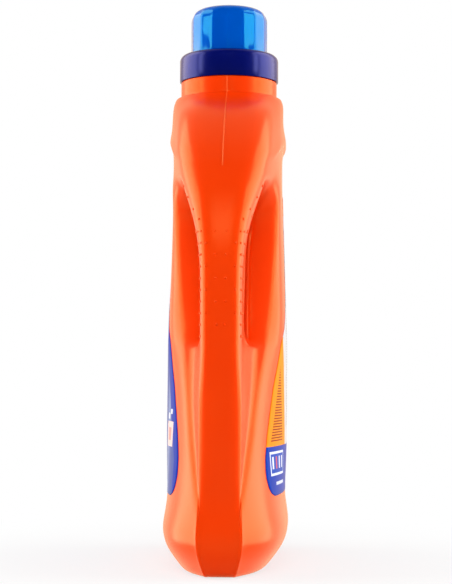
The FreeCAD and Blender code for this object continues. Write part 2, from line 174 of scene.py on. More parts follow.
def lensRing(level):
    # half ring of the body: blunt nose, wedge, flat face and rounded back, as (x, y)
    noseLevel, rearLevel = endLevels(level)
    nose, rear = at(noseLevel, bottle["noseLine"]), at(rearLevel, bottle["rearLine"])
    half, faceX = at(level, bottle["halfDepth"]), at(level, bottle["faceFront"])
    corner = at(noseLevel, bottle["noseCorner"])
    cornerX = nose - at(noseLevel, bottle["cornerSetBack"])
    points = [(nose, 0.0), (nose, at(noseLevel, bottle["noseFlat"])), (cornerX, corner)]
    for step in range(1, bottle["wedgeSteps"]):
        share = step / bottle["wedgeSteps"]
        bulge = 1 - (1 - share) ** bottle["wedgePower"]
        points.append((mixed(cornerX, faceX, share), mixed(corner, half, bulge)))
    middle = min(faceX - bottle["faceRun"], bottle["pourAxis"] - bottle["middleRun"])
    points += [(faceX, half), (middle, half)]
    points += [(mixed(rear, middle, share), half * depth) for share, depth in bottle["backCurve"]]
    return points


def scoopedRing(level):
    # the half ring with its six wedge points pressed in behind the handle, to the web and the wall beside it
    points = lensRing(level)
    depth = at(level, bottle["scoop"])
    nose = at(endLevels(level)[0], bottle["noseLine"])
    flank, root = at(level, bottle["flank"]), at(level, bottle["root"])
    wallX, wallHalf = at(level, bottle["wallX"]), at(level, bottle["wallHalf"])
    footX = wallX + at(level, bottle["wallFoot"])
    if level < fingerHole["rows"][0] + 1:
        startX = min(footX + bottle["flankSlope"] * max(root - flank, bottle["flankStep"]) + bottle["flankGap"],
                     nose - at(level, bottle["cornerSetBack"]) - at(level, bottle["groove"]))
    else:
        startX = min(max(nose - bottle["handleReach"], footX + bottle["handleFloor"]),
                     nose - bottle["handleLeast"])
    run = at(level, bottle["cornerRun"])
    faceX, faceHalf = points[bottle["wedgeSteps"] + 2]
    pressed = list(points)
    pressed[3:9] = [
        (startX, flank),
        ((startX + footX) / 2, mixed(flank, root, 0.5)),
        (footX, root),
        (wallX, wallHalf - run * bottle["cornerDip"]),
        (wallX - run, wallHalf + run * bottle["cornerLift"]),
        (mixed(wallX, faceX, at(level, bottle["bevelShare"])),
         mixed(wallHalf, faceHalf, at(level, bottle["bevelRise"]))),
    ]
    return [(mixed(a[0], b[0], depth), mixed(a[1], b[1], depth)) for a, b in zip(points, pressed)]


def ovalRing(level):
    # half ring of an oval round the pouring axis, which the top of the shoulder turns into
    noseLevel, rearLevel = endLevels(level)
    nose, rear = at(noseLevel, bottle["noseLine"]), at(rearLevel, bottle["rearLine"])
    half = at(level, bottle["halfDepth"])
    points = []
    last = bottle["poles"] // 2
    for index in range(last + 1):
        angle = math.pi * index / last
        reach = nose - bottle["pourAxis"] if math.cos(angle) > 0 else bottle["pourAxis"] - rear
        points.append((bottle["pourAxis"] + reach * math.cos(angle), half * math.sin(angle)))
    return points


def bodyRing(level, inset=0.0, height=None):
    # closed ring of cage points at one level
    roundness = at(level, bottle["round"])
    points = [(mixed(a[0], b[0], roundness), mixed(a[1], b[1], roundness))
              for a, b in zip(scoopedRing(level), ovalRing(level))]
    taper = bottle["noseTaper"] * min(inset / bottle["baseInset"], 1)
    half = []
    for index, (x, y) in enumerate(points):
        narrow = 1 - taper * max(x, 0) / bottle["halfWidth"]
        x *= 1 - inset / bottle["halfWidth"]
        y *= (1 - inset / bottle["bellyHalf"]) * narrow
        lift = bottle["ridgeDrop"] * at(level, bottle["sweep"]) * at(index, bottle["sweepLead"])
        proud = at(level, bottle["ridge"]) * at(index, bottle["ridgeProud"])
        half.append(Vector((x, y + proud, (level if height is None else height) - lift)))
    return half + [Vector((point.x, -point.y, point.z)) for point in half[-2:0:-1]]


def neckRing(radius, level):
    # cage circle whose smoothed radius is the one asked for
    count = bottle["poles"]
    reach = radius * 3 / (2 + math.cos(2 * math.pi / count))
    return [Vector((bottle["pourAxis"] + reach * math.cos(2 * math.pi * index / count),
                    reach * math.sin(2 * math.pi * index / count), level)) for index in range(count)]


fingerHole = {
    "rows": (110.2, 193),
    "columns": [(1, (3, 4, 5)), (-1, (25, 24, 23))],
    "startRows": 2,
    "lowCentre": (38.0, 127.8),
    "highCentre": (33.0, 171.0),
    "radius": 15.0,
    "arcStep": 30,
    "runShares": (0.2, 0.4, 0.6, 0.8),
    "floorHalf": [(110.2, 13.7), (111.2, 12.2), (112.6, 11.0), (121, 10.5), (170, 11.6), (186, 15.0),
                  (193, 19.0)],
    "rim": [(2.6, True, 0.0), (2.3, True, -0.5), (1.9, False, 8.0), (0.5, False, 5.2), (0.0, False, 2.0)],
}


def holeOutline(swell):
    # points round the leaning slot, clockwise from the handle side of its lower end, as (x, z)
    step = fingerHole["arcStep"]
    reach = (fingerHole["radius"] + swell) * 3 / (2 + math.cos(math.radians(step)))
    low, high = fingerHole["lowCentre"], fingerHole["highCentre"]
    lean = math.atan2(low[0] - high[0], high[1] - low[1])

    def arc(centre, start):
        angles = [math.radians(degrees) + lean for degrees in range(start, start - 181, -step)]
        return [(centre[0] + reach * math.cos(angle), centre[1] + reach * math.sin(angle)) for angle in angles]

    def straight(start, end):
        return [(mixed(start[0], end[0], share), mixed(start[1], end[1], share))
                for share in fingerHole["runShares"]]

    lowArc, highArc = arc(low, 0), arc(high, 180)
    return lowArc + straight(lowArc[-1], highArc[0]) + highArc + straight(highArc[-1], lowArc[0])


def loopEdges(bm, loop):
    return [bm.edges.get(pair) for pair in zip(loop, loop[1:] + loop[:1])]


def pulledRim(bm, loop, swell, onFloor, half, side):
    # extrudes a loop of verts and moves the copy to the slot outline, at a depth from the web or the middle
    extruded = bmesh.ops.extrude_edge_only(bm, edges=loopEdges(bm, loop))["geom"]
    fresh = [item for item in extruded if isinstance(item, bmesh.types.BMVert)]
    ordered = []
    for old in loop:
        vert = min(fresh, key=lambda item: (item.co - old.co).length)
        fresh.remove(vert)
        ordered.append(vert)
    for vert, (x, z) in zip(ordered, holeOutline(swell)):
        y = at(z, fingerHole["floorHalf"]) + half if onFloor else half
        vert.co = Vector((x, side * y, z))
    return ordered


def openHole(bm, table, lowRow, highRow, columns):
    # deletes the cage faces where the finger hole goes and returns the verts round them
    near, middle, far = columns
    upRows = list(range(lowRow + 1, highRow))
    start = fingerHole["startRows"]
    loop = [table[row][near] for row in reversed(upRows[:start])]
    loop += [table[lowRow][column] for column in (near, middle, far)]
    loop += [table[row][far] for row in upRows]
    loop += [table[highRow][column] for column in (far, middle, near)]
    loop += [table[row][near] for row in reversed(upRows[start:])]
    doomed = []
    for row in range(lowRow, highRow):
        for a, b in ((near, middle), (middle, far)):
            corners = {table[row][a], table[row][b], table[row + 1][a], table[row + 1][b]}
            doomed += [face for face in table[row][middle].link_faces if set(face.verts) == corners]
    bmesh.ops.delete(bm, geom=doomed, context="FACES")
    return loop


def makeBottle():
    rings = [bodyRing(0.0, inset, height) for height, inset in bottle["heel"]]
    rings += [bodyRing(level) for level in bottle["rows"]]
    rings += [neckRing(radius, level) for radius, level in bottle["neck"]]
    width = bottle["poles"] + 1
    bm = bmesh.new()
    grid = bmesh.ops.create_grid(bm, x_segments=width - 1, y_segments=len(rings) - 1, size=1)["verts"]
    for number, vert in enumerate(grid):
        row, column = divmod(number, width)
        vert.co = rings[row][column % bottle["poles"]]
    table = [grid[row * width:(row + 1) * width] for row in range(len(rings))]
    lowRow, highRow = [len(bottle["heel"]) + bottle["rows"].index(level) for level in fingerHole["rows"]]
    loops = [openHole(bm, table, lowRow, highRow, columns) for side, columns in fingerHole["columns"]]
    ends = []
    for (side, columns), loop in zip(fingerHole["columns"], loops):
        for swell, onFloor, half in fingerHole["rim"]:
            loop = pulledRim(bm, loop, swell, onFloor, half, side)
        ends += loopEdges(bm, loop)
    bmesh.ops.bridge_loops(bm, edges=ends)
    baseEdges = [bm.edges.get(pair) for pair in zip(table[0], table[0][1:])]
    bmesh.ops.contextual_create(bm, geom=baseEdges)
    loose = [vert for vert in bm.verts if not vert.link_faces]
    bmesh.ops.delete(bm, geom=loose, context="VERTS")
    bmesh.ops.remove_doubles(bm, verts=bm.verts, dist=bottle["merge"])
    bmesh.ops.recalc_face_normals(bm, faces=bm.faces)
    piece = finishMesh(bm, "bottle_shell", "bottle_body")
    shell = piece.modifiers.new("wall", "SOLIDIFY")
    shell.thickness = bottle["wall"] * mm
    shell.offset = -1.0
    shell.use_even_offset = False
    smooth = piece.modifiers.new("smooth", "SUBSURF")
    smooth.levels = smooth.render_levels = bottle["smoothing"]
    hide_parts("bottle")
    return piece


feet = {
    "places": ((29.0, 12.9), (29.0, -12.9), (-42.0, 15.9), (-42.0, -15.9)),
    "round": 5.0,
    "reach": 2.6,
    "rings": 6,
    "steps": 24,
}


def makeFeet():
    # four shallow domes under the base, the points the bottle stands on
    bm = bmesh.new()
    size = feet["round"]
    radii = [feet["reach"] * ring / feet["rings"] for ring in range(feet["rings"] + 1)]
    outline = [(radius, size - math.sqrt(size ** 2 - radius ** 2)) for radius in radii]
    for x, y in feet["places"]:
        dome = bmesh.new()
        spun(dome, outline, feet["steps"], 0.0, closed=False)
        bmesh.ops.translate(dome, vec=(x, y, 0), verts=dome.verts)
        for face in dome.faces:
            if face.normal.z > 0:
                face.normal_flip()
        mesh = bpy.data.meshes.new("foot")
        dome.to_mesh(mesh)
        dome.free()
        bm.from_mesh(mesh)
        bpy.data.meshes.remove(mesh)
    return finishMesh(bm, "feet", "bottle_body")


print("bottle: cage, finger hole, neck and feet")
bottleShell = makeBottle()
bottleFeet = makeFeet()
bpy.context.view_layer.update()
skin = BVHTree.FromObject(bottleShell, bpy.context.evaluated_depsgraph_get())


def onSkin(origin, direction):
    # where a line in millimetres first meets the bottle, and the normal there
    point, normal = skin.ray_cast(Vector(origin) * mm, Vector(direction))[:2]
    return (None, None) if point is None else (point / mm, normal)


def facedOut(bm, heading=1):
    # turns every face away from the pouring axis, or towards it with heading -1
    bmesh.ops.recalc_face_normals(bm, faces=bm.faces)
    for face in bm.faces:
        centre = face.calc_center_median()
        outward = face.normal.x * (centre.x - bottle["pourAxis"]) + face.normal.y * centre.y
        if outward * heading < 0:
            face.normal_flip()


collar = {
    "outer": 26.0,
    "bottom": 250.4,
    "bottomEdge": [(-0.25, 0.0), (0.0, 0.3)],
    "top": 264.75,
    "topWall": 1.6,
    "edgeRound": 3.4,
    "edgeSteps": 8,
    "skirtInner": 24.28,
    "plugOuter": 22.15,
    "plugInner": 20.5,
    "plugEdge": [(0.5, 0.0), (0.12, -0.14), (0.0, -0.5)],
    "troughFloor": 251.4,
    "troughCorner": [(0.0, 0.8), (-0.25, 0.2), (-0.8, 0.0)],
    "troughFlat": 17.4,
    "troughWall": 1.5,
    "troughFall": 1.6,
    "spoutFoot": (0.4, 0.1),
    "spoutDrop": 0.2,
    "spoutOuter": 12.5,
    "spoutWall": 1.3,
    "spoutTop": 280.25,
    "spoutSlant": 9.0,
    "lipHeight": 0.5,
    "lipEdge": (0.2, 0.1),
    "slotHalf": 2.0,
    "slotMargin": 0.01,
    "steps": 128,
    "sharpFrom": 50,
}


def makeCollarRing():
    # the ring with the plug wall inside it and the trough that falls towards the spout
    c = collar
    underTop, fallen = c["top"] - c["topWall"], c["troughFloor"] - c["troughFall"]
    bore = c["spoutOuter"] - c["spoutWall"]
    outline = stepsFrom(c["outer"], c["bottom"], c["bottomEdge"])
    outline += roundedEdge(c["outer"], c["top"], c["edgeRound"], c["edgeSteps"])
    outline += stepsFrom(c["plugInner"], c["top"], c["plugEdge"])
    outline += stepsFrom(c["plugInner"], c["troughFloor"], c["troughCorner"])
    outline += [(c["troughFlat"], c["troughFloor"])]
    outline += stepsFrom(c["spoutOuter"], fallen, [c["spoutFoot"], (-c["spoutWall"] / 2, 0.0)])
    outline += [(bore, fallen - c["spoutDrop"]), (bore, fallen - c["troughWall"]),
                (c["spoutOuter"], fallen - c["troughWall"]),
                (c["plugOuter"], c["troughFloor"] - c["troughWall"]), (c["plugOuter"], underTop),
                (c["skirtInner"], underTop), (c["skirtInner"], c["bottom"])]
    bm = bmesh.new()
    spun(bm, outline, c["steps"], bottle["pourAxis"])
    piece = finishMesh(bm, "collar_ring", "bottle_body")
    sharpened(piece, c["sharpFrom"])
    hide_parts("spout_collar")
    return piece


def makePourSpout():
    # a tube with a slanted mouth and a drain slot on the handle side
    c = collar
    axisX, half, margin = bottle["pourAxis"], c["slotHalf"], c["slotMargin"]
    outer, inner, top = c["spoutOuter"], c["spoutOuter"] - c["spoutWall"], c["spoutTop"]
    fallen = c["troughFloor"] - c["troughFall"]
    low, shoulder = fallen - c["lipHeight"], top - c["lipHeight"]
    edgeIn, edgeDown = c["lipEdge"]
    lip = [(outer, low), (outer, shoulder), (outer - edgeIn, top - edgeDown),
           (outer - c["spoutWall"] / 2, top), (inner + edgeIn, top - edgeDown), (inner, shoulder), (inner, low)]
    bm = bmesh.new()
    spun(bm, lip, c["steps"], axisX, closed=False)
    for vert in bm.verts:
        reach = (vert.co.x - axisX + outer) / (2 * outer)
        rise = max(vert.co.z - fallen, 0) / (top - fallen)
        vert.co.z -= c["spoutSlant"] * reach * rise
    for y in (-half, half):
        bmesh.ops.bisect_plane(bm, geom=bm.verts[:] + bm.edges[:] + bm.faces[:], plane_co=(0, y, 0),
                               plane_no=(0, 1, 0))
    centres = [(face, face.calc_center_median()) for face in bm.faces]
    slotFaces = [face for face, centre in centres if centre.x > axisX and abs(centre.y) < half]
    bmesh.ops.delete(bm, geom=slotFaces, context="FACES")
    openEdges = [edge for edge in bm.edges if edge.is_boundary and edge.verts[0].co.x > axisX
                 and all(abs(abs(vert.co.y) - half) < margin for vert in edge.verts)]
    for side in (1, -1):
        bmesh.ops.contextual_create(bm, geom=[edge for edge in openEdges if edge.verts[0].co.y * side > 0])
    bmesh.ops.recalc_face_normals(bm, faces=bm.faces)
    piece = finishMesh(bm, "pour_spout", "bottle_body")
    sharpened(piece, c["sharpFrom"])
    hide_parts("spout_collar")
    return piece


cup = {
    "outer": 20.1,
    "top": 289.25,
    "rim": 251.46,
    "rimBevel": 0.4,
    "wall": 1.7,
    "topWall": 1.6,
    "topFlat": 9,
    "edgeRound": 6.6,
    "edgeSteps": 8,
    "facets": 16,
    "facetDepth": 0.36,
    "facetBottom": 265.55,
    "facetFade": 0.6,
    "facetMargin": 0.3,
    "middle": 276.0,
    "stepsPerFacet": 8,
    "merge": 0.0005,
    "sharpFrom": 40,
}


def makeCup():
    # a cup upside down, its upper part pressed into soft facets
    c = cup
    axisX, inner, underTop = bottle["pourAxis"], c["outer"] - c["wall"], c["top"] - c["topWall"]
    outline = [(inner, c["rim"]), (c["outer"] - c["rimBevel"], c["rim"]), (c["outer"], c["rim"] + c["rimBevel"])]
    outline += stepsFrom(c["outer"], c["facetBottom"], [(0.0, -c["facetFade"]), (0.0, 0.0), (0.0, c["facetFade"])])
    outline += [(c["outer"], c["middle"])]
    outline += roundedEdge(c["outer"], c["top"], c["edgeRound"], c["edgeSteps"])
    outline += [(c["outer"] - c["topFlat"], c["top"]), (0.0, c["top"]), (0.0, underTop)]
    outline += roundedEdge(inner, underTop, c["edgeRound"] - c["wall"] / 2)[::-1]
    bm = bmesh.new()
    spun(bm, outline, c["facets"] * c["stepsPerFacet"], axisX)
    bmesh.ops.remove_doubles(bm, verts=bm.verts, dist=c["merge"])
    span = 2 * math.pi / c["facets"]
    for vert in bm.verts:
        x, y = vert.co.x - axisX, vert.co.y
        if math.hypot(x, y) < inner + c["facetMargin"] or vert.co.z < c["facetBottom"] + c["facetMargin"]:
            continue
        angle = math.atan2(y, x) % span - span / 2
        flat = (c["outer"] - c["facetDepth"]) / math.cos(angle)
        share = min(flat / c["outer"], 1.0)
        vert.co.x = axisX + x * share
        vert.co.y = y * share
    piece = finishMesh(bm, "dosing_cup", "cap_body")
    sharpened(piece, c["sharpFrom"])
    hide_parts("dosing_cap")
    return piece


thread = {
    "height": 0.28,
    "turns": 1.6,
    "bottom": 254.0,
    "pitch": 4.0,
    "half": 0.7,
    "sunk": 0.04,
    "runOut": 0.06,
    "stepsPerTurn": 96,
}


def makeThread(name, body, wallRadius, proud, shift):
    # a low ridge wound up a wall, run out to nothing at both ends; proud is negative on an inner wall
    t = thread
    steps = int(t["turns"] * t["stepsPerTurn"])
    bm = bmesh.new()
    grid = bmesh.ops.create_grid(bm, x_segments=2, y_segments=steps, size=1)["verts"]
    foot = wallRadius - math.copysign(t["sunk"], proud)
    for number, vert in enumerate(grid):
        row, column = divmod(number, 3)
        share = row / steps
        angle = 2 * math.pi * t["turns"] * share
        rise = proud * min(share, 1 - share, t["runOut"]) / t["runOut"]
        radius = foot + (rise if column == 1 else 0.0)
        level = t["bottom"] + shift + t["pitch"] * t["turns"] * share + (column - 1) * t["half"]
        vert.co = Vector((bottle["pourAxis"] + radius * math.cos(angle), radius * math.sin(angle), level))
    facedOut(bm, math.copysign(1, proud))
    return finishMesh(bm, name, body)


print("collar, spout and dosing cup")
collarRing = makeCollarRing()
pourSpout = makePourSpout()
dosingCup = makeCup()
cupThread = makeThread("cup_thread", "cap_body", cup["outer"], thread["height"], 0.0)
collarThread = makeThread("collar_thread", "bottle_body", collar["plugInner"],
                          -thread["height"], thread["pitch"] / 2)


label = {
    "bottom": 37.0,
    "top": 191.5,
    "rear": -65.0,
    "front": [(36, 54.5), (50, 54.5), (56, 53.5), (66, 49.0), (77, 42.5), (90, 33.5), (104, 20.0), (113, 12.0),
              (120, 4.0), (135, -6.0), (155, -12.0), (192, -16.0)],
    "corner": 12.0,
    "rise": 0.06,
    "thickness": 0.16,
    "columns": 44,
    "rows": 72,
    "crowding": 0.35,
    "startY": 60,
    "middle": (-20, 31, 100),
}


def cornerSetBack(z):
    # how far the side edges draw in where the corners are rounded
    reach = min(z - label["bottom"], label["top"] - z)
    if reach >= label["corner"]:
        return 0.0
    return label["corner"] - math.sqrt(max(label["corner"] ** 2 - (label["corner"] - reach) ** 2, 0))


def makeLabel(name, node, side):
    # a film laid on the bottle, with its rows crowded towards the rounded corners
    l = label
    bm = bmesh.new()
    grid = bmesh.ops.create_grid(bm, x_segments=l["columns"], y_segments=l["rows"], size=1)["verts"]
    for number, vert in enumerate(grid):
        row, column = divmod(number, l["columns"] + 1)
        share = row / l["rows"]
        share -= l["crowding"] * math.sin(2 * math.pi * share) / (2 * math.pi)
        z = mixed(l["bottom"], l["top"], share)
        setBack = cornerSetBack(z)
        x = mixed(l["rear"] + setBack, at(z, l["front"]) - setBack, column / l["columns"])
        point, normal = onSkin((x, side * l["startY"], z), (0, -side, 0))
        vert.co = point + normal * l["rise"]
    bmesh.ops.recalc_face_normals(bm, faces=bm.faces)
    x, y, z = l["middle"]
    middle = min(bm.faces, key=lambda face: (face.calc_center_median() - Vector((x, side * y, z))).length)
    if middle.normal.y * side < 0:
        bmesh.ops.reverse_faces(bm, faces=bm.faces)
    piece = finishMesh(bm, name, "bottle_body")
    film = piece.modifiers.new("film", "SOLIDIFY")
    film.thickness = l["thickness"] * mm
    film.offset = 1.0
    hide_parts(node)
    return piece


print("labels")
frontLabel = makeLabel("front_film", "front_label", -1)
backLabel = makeLabel("back_film", "back_label", 1)


grip = {
    "pairRows": [(164.1, 2.9), (153.0, 2.7), (141.8, 2.4), (130.8, 2.2), (119.8, 1.9)],
    "wideRows": [(158.5, 7.0), (147.4, 7.0), (136.3, 7.0), (125.2, 7.0), (114.3, 7.0)],
    "centreFrom": 115,
    "edgeHalf": 9.5,
    "flare": [(54.7, 188.1), (60.7, 182.0), (68.2, 175.4), (73.6, 170.1), (62.0, 172.4), (67.0, 165.0)],
    "flankBack": (4.6, 9.6),
    "wideShift": 2.5,
    "radius": 0.62,
    "height": 0.5,
    "startX": 120,
    "startY": 60,
}


def addDot(bm, origin, direction):
    point, normal = onSkin(origin, direction)
    if point is None:
        return
    turn = normal.to_track_quat("Z", "Y").to_matrix().to_4x4()
    size = Matrix.Diagonal((grip["radius"], grip["radius"], grip["height"], 1))
    bmesh.ops.create_icosphere(bm, subdivisions=2, radius=1, matrix=Matrix.Translation(point) @ turn @ size)


def makeGripDots():
    # rows of low dots down the handle's nose and along its flanks
    bm = bmesh.new()
    startX, startY = grip["startX"], grip["startY"]
    for side in (-1, 1):
        for shift, rows in ((0.0, grip["pairRows"]), (grip["wideShift"], grip["wideRows"])):
            for z, half in rows:
                nose = at(z, bottle["noseLine"])
                if z > grip["centreFrom"]:
                    addDot(bm, (startX, side * half, z), (-1, 0, 0))
                addDot(bm, (startX, side * grip["edgeHalf"], z), (-1, 0, 0))
                for back in grip["flankBack"]:
                    addDot(bm, (nose - back - shift, side * startY, z), (0, -side, 0))
        for x, z in grip["flare"]:
            addDot(bm, (x, side * startY, z), (0, -side, 0))
    return finishMesh(bm, "grip_dots", "bottle_body")


seam = {
    "bottoms": ((1, 197.0), (-1, 8.0)),
    "top": 250.2,
    "half": 0.26,
    "rise": 0.30,
    "sunk": 0.03,
    "steps": 80,
    "startX": 150,
}


def makePartingLine():
    # a fine ridge down the nose's upper part and another down the whole back
    bm = bmesh.new()
    for heading, bottom in seam["bottoms"]:
        start = len(bm.verts)
        bmesh.ops.create_grid(bm, x_segments=2, y_segments=seam["steps"], size=1)
        bm.verts.ensure_lookup_table()
        for number, vert in enumerate(bm.verts[start:]):
            row, column = divmod(number, 3)
            z = mixed(bottom, seam["top"], row / seam["steps"])
            y = (column - 1) * seam["half"]
            point, normal = onSkin((bottle["pourAxis"] + heading * seam["startX"], y, z), (-heading, 0, 0))
            vert.co = point + normal * (seam["rise"] if column == 1 else -seam["sunk"])
    facedOut(bm)
    return finishMesh(bm, "parting_line", "bottle_body")


print("grip dots and parting line")
gripDots = makeGripDots()
partingLine = makePartingLine()


def newMaterial(name):
    material = bpy.data.materials.new(name)
    material.use_nodes = True
    nodes, links = material.node_tree.nodes, material.node_tree.links
    return material, nodes, links, nodes["Principled BSDF"]


def setSockets(node, values):
    for socket, value in values.items():
        node.inputs[socket].default_value = value


def coordinate(nodes, kind="Object"):
    return nodes.new("ShaderNodeTexCoord").outputs[kind]


def noiseNode(nodes, links, scale, detail):
    noise = nodes.new("ShaderNodeTexNoise")
    setSockets(noise, {"Scale": scale, "Detail": detail})
    links.new(coordinate(nodes), noise.inputs["Vector"])
    return noise.outputs["Fac"]


def rampNode(nodes, links, source, stops):
    ramp = nodes.new("ShaderNodeValToRGB")
    elements = ramp.color_ramp.elements
    while len(elements) < len(stops):
        elements.new(0.5)
    for element, (position, colour) in zip(elements, stops):
        element.position = position
        element.color = (*colour, 1)
    links.new(source, ramp.inputs["Fac"])
    return ramp.outputs["Color"]


def rangeNode(nodes, links, source, values):
    node = nodes.new("ShaderNodeMapRange")
    setSockets(node, values)
    links.new(source, node.inputs["Value"])
    return node


def mathNode(nodes, links, operation, a, b=None, c=None):
    node = nodes.new("ShaderNodeMath")
    node.operation = operation
    for socket, value in zip(node.inputs, (a, b, c)):
        if value is None:
            continue
        if isinstance(value, (int, float)):
            socket.default_value = value
        else:
            links.new(value, socket)
    return node.outputs["Value"]


def mixColour(nodes, links, factor, a, b):
    node = nodes.new("ShaderNodeMix")
    node.data_type = "RGBA"
    links.new(factor, node.inputs["Factor"])
    for socket, value in ((node.inputs["A"], a), (node.inputs["B"], b)):
        if isinstance(value, tuple):
            socket.default_value = (*value, 1)
        else:
            links.new(value, socket)
    return node.outputs["Result"]


def separated(nodes, links, kind="Object"):
    split = nodes.new("ShaderNodeSeparateXYZ")
    links.new(coordinate(nodes, kind), split.inputs["Vector"])
    return split.outputs


orangeLook = {
    "name": "orange_hdpe",
    "cloud": (16, 3),
    "deep": (0.88, 0.038, 0.0003),
    "plain": (0.91, 0.044, 0.0004),
    "haze": (60, 2),
    "hazeRoughness": {"To Min": 0.22, "To Max": 0.27},
    "grain": (110, 2),
    "bump": {"Strength": 0.12, "Distance": 0.00012},
    "sockets": {"Specular Tint": (1.0, 0.60, 0.16, 1), "Specular IOR Level": 1.0},
}
# the parting line is the body's own plastic; its lighter, yellower orange is a painted highlight along the seam's
# ridge
seamHighlightLook = {**orangeLook, "name": "orange_seam_highlight", "deep": (0.95, 0.085, 0.012), "plain": (0.97, 0.11, 0.02)}
navyLook = {
    "name": "navy_pp",
    "cloud": (30, 2),
    "deep": (0.0006, 0.003, 0.105),
    "plain": (0.0006, 0.0030, 0.130),
    "grain": (160, 2),
    "bump": {"Strength": 0.1, "Distance": 0.0001},
    "sockets": {"Roughness": 0.22, "Specular Tint": (0.20, 0.26, 1.0, 1), "Specular IOR Level": 1.0,
                "IOR": 1.7},
}
clearBlueLook = {
    "name": "clear_blue_pp",
    "cloud": (25, 2),
    "deep": (0.0, 0.100, 0.64),
    "plain": (0.0, 0.130, 0.72),
    "grain": (120, 2),
    "bump": {"Strength": 0.1, "Distance": 0.0001},
    "sockets": {"Roughness": 0.07, "Specular Tint": (0.02, 0.72, 1.0, 1), "Specular IOR Level": 1.0,
                "Transmission Weight": 0.25, "IOR": 1.75},
}


def mouldedPlastic(look):
    # broad clouds in the colour and fine flow marks in the surface, with a faint haze in the gloss if asked
    material, nodes, links, shader = newMaterial(look["name"])
    cloud = noiseNode(nodes, links, *look["cloud"])
    tint = rampNode(nodes, links, cloud, [(0.3, look["deep"]), (0.7, look["plain"])])
    links.new(tint, shader.inputs["Base Color"])
    if "haze" in look:
        haze = rangeNode(nodes, links, noiseNode(nodes, links, *look["haze"]), look["hazeRoughness"])
        links.new(haze.outputs["Result"], shader.inputs["Roughness"])
    setSockets(shader, look["sockets"])
    bump = nodes.new("ShaderNodeBump")
    setSockets(bump, look["bump"])
    links.new(noiseNode(nodes, links, *look["grain"]), bump.inputs["Height"])
    links.new(bump.outputs["Normal"], shader.inputs["Normal"])
    return material


filmLook = {
    "sockets": {"Roughness": 0.32, "IOR": 1.09},
    "edgeSlope": -0.698,
    "edgeStart": 0.0926,
    "edgeFront": 0.0545,
}


def inBox(nodes, links, split, x0, x1, z0, z1):
    # 1 inside an upright rectangle, in metres
    z = mathNode(nodes, links, "MULTIPLY", mathNode(nodes, links, "GREATER_THAN", split["Z"], z0),
                 mathNode(nodes, links, "LESS_THAN", split["Z"], z1))
    x = mathNode(nodes, links, "MULTIPLY", mathNode(nodes, links, "GREATER_THAN", split["X"], x0),
                 mathNode(nodes, links, "LESS_THAN", split["X"], x1))
    return mathNode(nodes, links, "MULTIPLY", x, z)


def withBoxes(nodes, links, split, colour, boxes):
    # the colour with plain rectangles laid over it, one after another
    for box, tone in boxes:
        colour = mixColour(nodes, links, inBox(nodes, links, split, *box), colour, tone)
    return colour


def besideEdge(nodes, links, split, gap):
    # 1 where a film is more than the gap behind its leaning front edge, in metres
    lean = mathNode(nodes, links, "MULTIPLY_ADD", split["Z"], filmLook["edgeSlope"], filmLook["edgeStart"] - gap)
    limit = mathNode(nodes, links, "MINIMUM", lean, filmLook["edgeFront"] - gap)
    return mathNode(nodes, links, "LESS_THAN", split["X"], limit)


frontPrint = {
    "wave": {"Scale": 7, "Distortion": 3, "Detail": 1},
    # the field is printed blue, and its pale greyish lilac tones are partly painted sheen of the glossy film
    "field": [(0.0, (0.045, 0.085, 0.34)), (0.6, (0.075, 0.12, 0.36)), (1.0, (0.20, 0.27, 0.50))],
    "borderWidth": 0.009,
    "border": (0.003, 0.035, 0.36),
    "boxes": [
        ((-0.055, 0.05, 0.150, 0.156), (0.85, 0.30, 0.03)),
        ((0.019, 0.038, 0.0605, 0.0728), (0.85, 0.60, 0.58)),
        ((0.024, 0.033, 0.0635, 0.0698), (0.72, 0.30, 0.28)),
        ((0.021, 0.027, 0.0740, 0.0770), (0.66, 0.70, 0.80)),
        ((0.029, 0.034, 0.0765, 0.0790), (0.66, 0.70, 0.80)),
    ],
}


def frontFilm():
    # mid-blue field with soft waves, its greyish lilac tone partly painted sheen, inside a deep-blue border, an
    # orange band and a few pale blocks
    material, nodes, links, shader = newMaterial("front_film_print")
    split = separated(nodes, links)
    wave = nodes.new("ShaderNodeTexWave")
    setSockets(wave, frontPrint["wave"])
    links.new(coordinate(nodes), wave.inputs["Vector"])
    field = rampNode(nodes, links, wave.outputs["Fac"], frontPrint["field"])
    inside = besideEdge(nodes, links, split, frontPrint["borderWidth"])
    colour = mixColour(nodes, links, inside, frontPrint["border"], field)
    links.new(withBoxes(nodes, links, split, colour, frontPrint["boxes"]), shader.inputs["Base Color"])
    setSockets(shader, filmLook["sockets"])
    return material


backPrint = {
    "rulePitch": 0.00135,
    "ruleLevel": 0.1,
    "ruleGap": 0.0042,
    "ruleBox": (0.018, 0.06, 0.0632, 0.104),
    "field": (0.90, 0.27, 0.012),
    "rule": (0.26, 0.022, 0.004),
    # the pale panel is printed with grey rules, and its whitish tone over the film's far part is partly painted
    # sheen
    "panel": [((-0.060, 0.009, 0.061, 0.180), (0.60, 0.60, 0.63))],
    "panelRuleBox": (-0.055, -0.004, 0.070, 0.172),
    "panelRule": (0.26, 0.25, 0.28),
    "boxes": [
        ((-0.1, 0.1, 0.0, 0.061), (0.004, 0.045, 0.40)),
        ((0.016, 0.0475, 0.0468, 0.0585), (0.72, 0.78, 0.88)),
        ((0.017, 0.0462, 0.0480, 0.0573), (0.006, 0.07, 0.46)),
        ((0.041, 0.0440, 0.0500, 0.0560), (0.70, 0.74, 0.84)),
        ((0.034, 0.0370, 0.0500, 0.0560), (0.55, 0.10, 0.16)),
        ((0.027, 0.0300, 0.0500, 0.0560), (0.70, 0.74, 0.84)),
        ((0.020, 0.0230, 0.0500, 0.0560), (0.70, 0.74, 0.84)),
        ((0.016, 0.0380, 0.0420, 0.0436), (0.62, 0.68, 0.80)),
    ],
}


